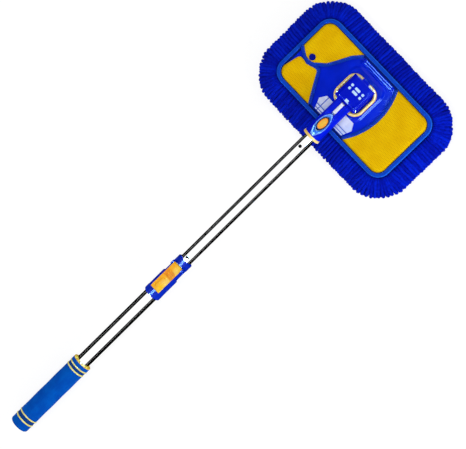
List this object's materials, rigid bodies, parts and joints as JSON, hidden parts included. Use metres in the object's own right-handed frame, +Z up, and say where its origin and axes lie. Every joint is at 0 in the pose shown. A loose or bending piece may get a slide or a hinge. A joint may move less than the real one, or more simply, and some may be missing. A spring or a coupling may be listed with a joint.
{
  "type": "car wash brush",
  "caption": "Telescopic car wash brush: chenille pad slipped over a plate that rolls and pitches on a swivel, neck with an angle brake, cam-lever clamp and foam grip",
  "frame": {"origin": "on the wash face, straight below the swivel, in the middle of the plate's length", "axes": "+X along the pole's plan direction from the grip towards the head, +Y along the pad's long side, +Z up from the wash face"},
  "size_m": [0.7972, 0.2888, 0.0669],
  "materials": {
    "chenille": "chenille microfibre, matt",
    "base_cloth": "woven, matt",
    "pad_foam": "open foam, matt",
    "binding": "woven tape, matt",
    "mesh": "spacer mesh, matt",
    "tape": "woven tape, matt",
    "snap_plastic": "gloss",
    "plate_blue": "gloss",
    "neck_blue": "satin gloss",
    "yellow_plastic": "gloss",
    "cream_plastic": "satin",
    "bar_plastic": "satin",
    "steel": "bright",
    "tube_metal": "polished",
    "clamp_blue": "satin gloss",
    "white_plastic": "matt",
    "grip_foam": "soft foam, matt",
    "ring_yellow": "soft, matt"
  },
  "bodies": {
    "head": {"chenille_pile": "chenille", "fringe_front": "chenille", "fringe_rear": "chenille", "fringe_left": "chenille", "fringe_right": "chenille", "foam_core": "pad_foam", "pad_backing": "base_cloth", "edge_binding": "binding", "large_pocket": "mesh", "pocket_tape": "tape", "corner_pocket": "mesh", "corner_tape": "tape", "snap_flap": "mesh", "flap_tape": "tape", "snap_cap": "snap_plastic", "snap_stud": "snap_plastic", "base_plate": "plate_blue", "swivel_seat": "neck_blue", "seat_screws": "steel", "roll_pin": "steel", "foot_pads": "bar_plastic", "seat_loop": "cream_plastic"},
    "swivel": {"swivel_block": "neck_blue", "block_pads": "bar_plastic", "hinge_pin": "steel"},
    "neck": {"neck_housing": "neck_blue", "button_bezel": "neck_blue", "neck_ring": "cream_plastic", "snap_pin": "steel", "inner_tube": "tube_metal", "stop_rivet": "steel", "brake_spring": "steel"},
    "button": {"release_button": "yellow_plastic"},
    "brake": {"brake_bar": "bar_plastic"},
    "bush": {"guide_bush": "white_plastic"},
    "pole": {"outer_tube": "tube_metal", "butt_cap": "white_plastic", "clamp_body": "clamp_blue", "pressure_shoe": "white_plastic", "lever_pin": "steel", "clamp_rivet": "steel", "foam_grip": "grip_foam", "grip_rings": "ring_yellow", "grip_collar": "ring_yellow"},
    "lever": {"clamp_lever": "yellow_plastic"}
  },
  "joints": [
    {"name": "swivel_roll", "type": "hinge", "parent": "head", "child": "swivel", "pos_m": [0.0115, 0, 0.047], "axis": [1, 0, 0], "range_deg": [-30, 30]},
    {"name": "neck_pitch", "type": "hinge", "parent": "swivel", "child": "neck", "pos_m": [-0.0102, 0, 0.0556], "axis": [0, 1, 0], "range_deg": [0, 93]},
    {"name": "button_press", "type": "slide", "parent": "neck", "child": "button", "axis": [0.0579, 0, -0.9983], "range_m": [0, 0.0022], "stiffness_N_per_m": 300, "springref_m": -0.001},
    {"name": "brake_slide", "type": "slide", "parent": "neck", "child": "brake", "axis": [-0.9983, 0, -0.0579], "range_m": [0, 0.0022], "deforming": ["brake_spring"]},
    {"name": "bush_twist", "type": "hinge", "parent": "neck", "child": "bush", "pos_m": [-0.67813, 0, 0.01689], "axis": [0.9983, 0, 0.0579], "continuous": true},
    {"name": "pole_slide", "type": "slide", "parent": "bush", "child": "pole", "axis": [-0.9983, 0, -0.0579], "range_m": [0, 0.23]},
    {"name": "lever_open", "type": "hinge", "parent": "pole", "child": "lever", "pos_m": [-0.3594, 0, 0.04898], "axis": [0, 1, 0], "range_deg": [0, 100]}
  ],
  "couplings": [
    {"joint": "brake_slide", "follows": "button_press", "ratio": 1}
  ]
}
